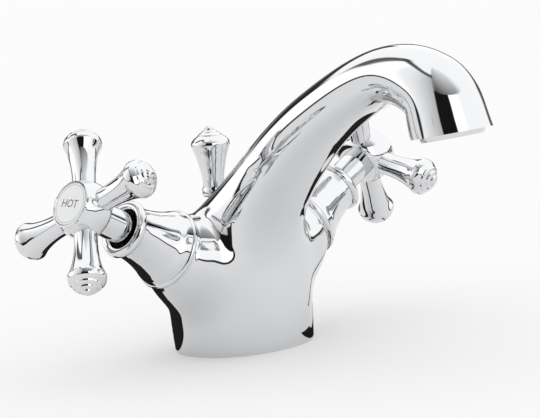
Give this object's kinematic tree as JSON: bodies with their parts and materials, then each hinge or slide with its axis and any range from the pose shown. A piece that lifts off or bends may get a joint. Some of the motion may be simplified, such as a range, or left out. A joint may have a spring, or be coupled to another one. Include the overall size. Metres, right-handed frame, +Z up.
{
  "type": "monobloc basin mixer",
  "caption": "Two-handle monobloc basin mixer with a swept one-piece spout, cross-head handles, bell shrouds, compression valves and a pop-up waste rod.",
  "frame": {"origin": "centre of the flat base on the deck plane", "axes": "+Z up from the deck, the spout points to -Y, the hot valve is on -X and the cold valve on +X"},
  "size_m": [0.1876, 0.1725, 0.2043],
  "materials": {
    "chrome_body": "polished chrome plate on cast brass",
    "chrome_trim": "polished chrome plate on turned brass",
    "chrome_rod": "polished chrome plate on drawn rod",
    "grey_plastic": "moulded, satin",
    "nylon": "moulded, satin",
    "rubber": "matt",
    "fibre": "matt vulcanised fibre",
    "brass": "machined",
    "steel": "zinc plated",
    "index_enamel": "glossy pale enamel"
  },
  "bodies": {
    "mixer": {"body": "chrome_body", "base_seal": "rubber", "aerator_housing": "chrome_trim", "aerator_insert": "grey_plastic", "aerator_washer": "rubber", "rod_bush": "nylon", "fixing_stud": "brass", "horseshoe_rubber": "rubber", "horseshoe_plate": "steel", "backnut": "brass", "hot_headwork": "brass", "hot_headwork_washer": "fibre", "hot_shroud": "chrome_trim", "cold_headwork": "brass", "cold_headwork_washer": "fibre", "cold_shroud": "chrome_trim"},
    "hot_handle": {"hot_spindle": "brass", "hot_spindle_orings": "rubber", "hot_spindle_circlip": "steel", "hot_hub": "chrome_trim", "hot_arm_1": "chrome_trim", "hot_arm_2": "chrome_trim", "hot_arm_3": "chrome_trim", "hot_arm_4": "chrome_trim", "hot_handle_screw": "steel", "hot_index_disc": "index_enamel"},
    "hot_jumper_body": {"hot_jumper": "brass", "hot_jumper_washer": "rubber", "hot_washer_screw": "brass"},
    "cold_handle": {"cold_spindle": "brass", "cold_spindle_orings": "rubber", "cold_spindle_circlip": "steel", "cold_hub": "chrome_trim", "cold_arm_1": "chrome_trim", "cold_arm_2": "chrome_trim", "cold_arm_3": "chrome_trim", "cold_arm_4": "chrome_trim", "cold_handle_screw": "steel", "cold_index_disc": "index_enamel"},
    "cold_jumper_body": {"cold_jumper": "brass", "cold_jumper_washer": "rubber", "cold_washer_screw": "brass"},
    "rod": {"lift_rod": "chrome_rod", "lift_knob": "chrome_trim"}
  },
  "joints": [
    {"name": "hot_turn", "type": "hinge", "parent": "mixer", "child": "hot_handle", "pos_m": [-0.07364, 0, 0.06482], "axis": [-0.8746, 0, 0.4848], "range_deg": [0, 1035]},
    {"name": "hot_lift", "type": "slide", "parent": "mixer", "child": "hot_jumper_body", "axis": [-0.8746, 0, 0.4848], "range_m": [0, 0.0052]},
    {"name": "cold_turn", "type": "hinge", "parent": "mixer", "child": "cold_handle", "pos_m": [0.07364, 0, 0.06482], "axis": [0.8746, 0, 0.4848], "range_deg": [0, 1035]},
    {"name": "cold_lift", "type": "slide", "parent": "mixer", "child": "cold_jumper_body", "axis": [0.8746, 0, 0.4848], "range_m": [0, 0.0052]},
    {"name": "rod_lift", "type": "slide", "parent": "mixer", "child": "rod", "axis": [0, 0, 1], "range_m": [0, 0.02]}
  ],
  "couplings": [
    {"joint": "hot_lift", "follows": "hot_turn", "m_per_rad": 0.00028648},
    {"joint": "cold_lift", "follows": "cold_turn", "m_per_rad": 0.00028648}
  ]
}
